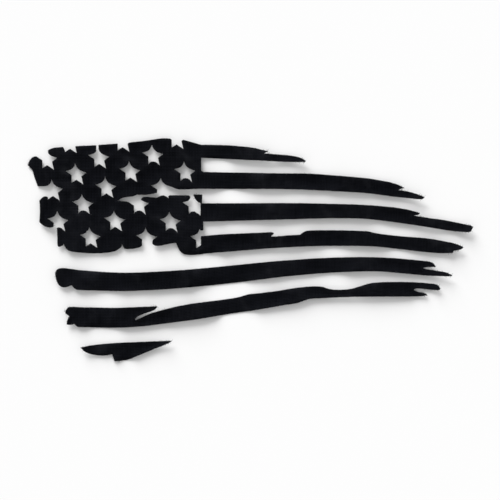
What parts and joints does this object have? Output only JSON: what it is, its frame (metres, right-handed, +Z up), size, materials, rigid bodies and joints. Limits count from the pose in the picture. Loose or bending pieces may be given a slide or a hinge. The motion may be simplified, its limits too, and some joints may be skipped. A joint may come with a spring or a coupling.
{
  "type": "tattered flag",
  "caption": "Tattered stars-and-stripes flag of black cloth, lying face up in soft folds, with stars and light stripes cut away and frayed fly ends.",
  "frame": {"origin": "on the surface that the cloth lies on, under the middle of its outline", "axes": "+X along the fly away from the hoist, +Y up the flag towards its upper edge, +Z up out of the face of the cloth"},
  "size_m": [0.457, 0.229, 0.0066],
  "materials": {
    "black_cloth": "matt black woven cotton bunting, worn and a little dusty, with cut and frayed edges"
  },
  "bodies": {
    "root": {"union_and_upper_stripes": "black_cloth", "fifth_stripe": "black_cloth", "sixth_stripe": "black_cloth", "seventh_stripe_scrap": "black_cloth"}
  },
  "joints": []
}
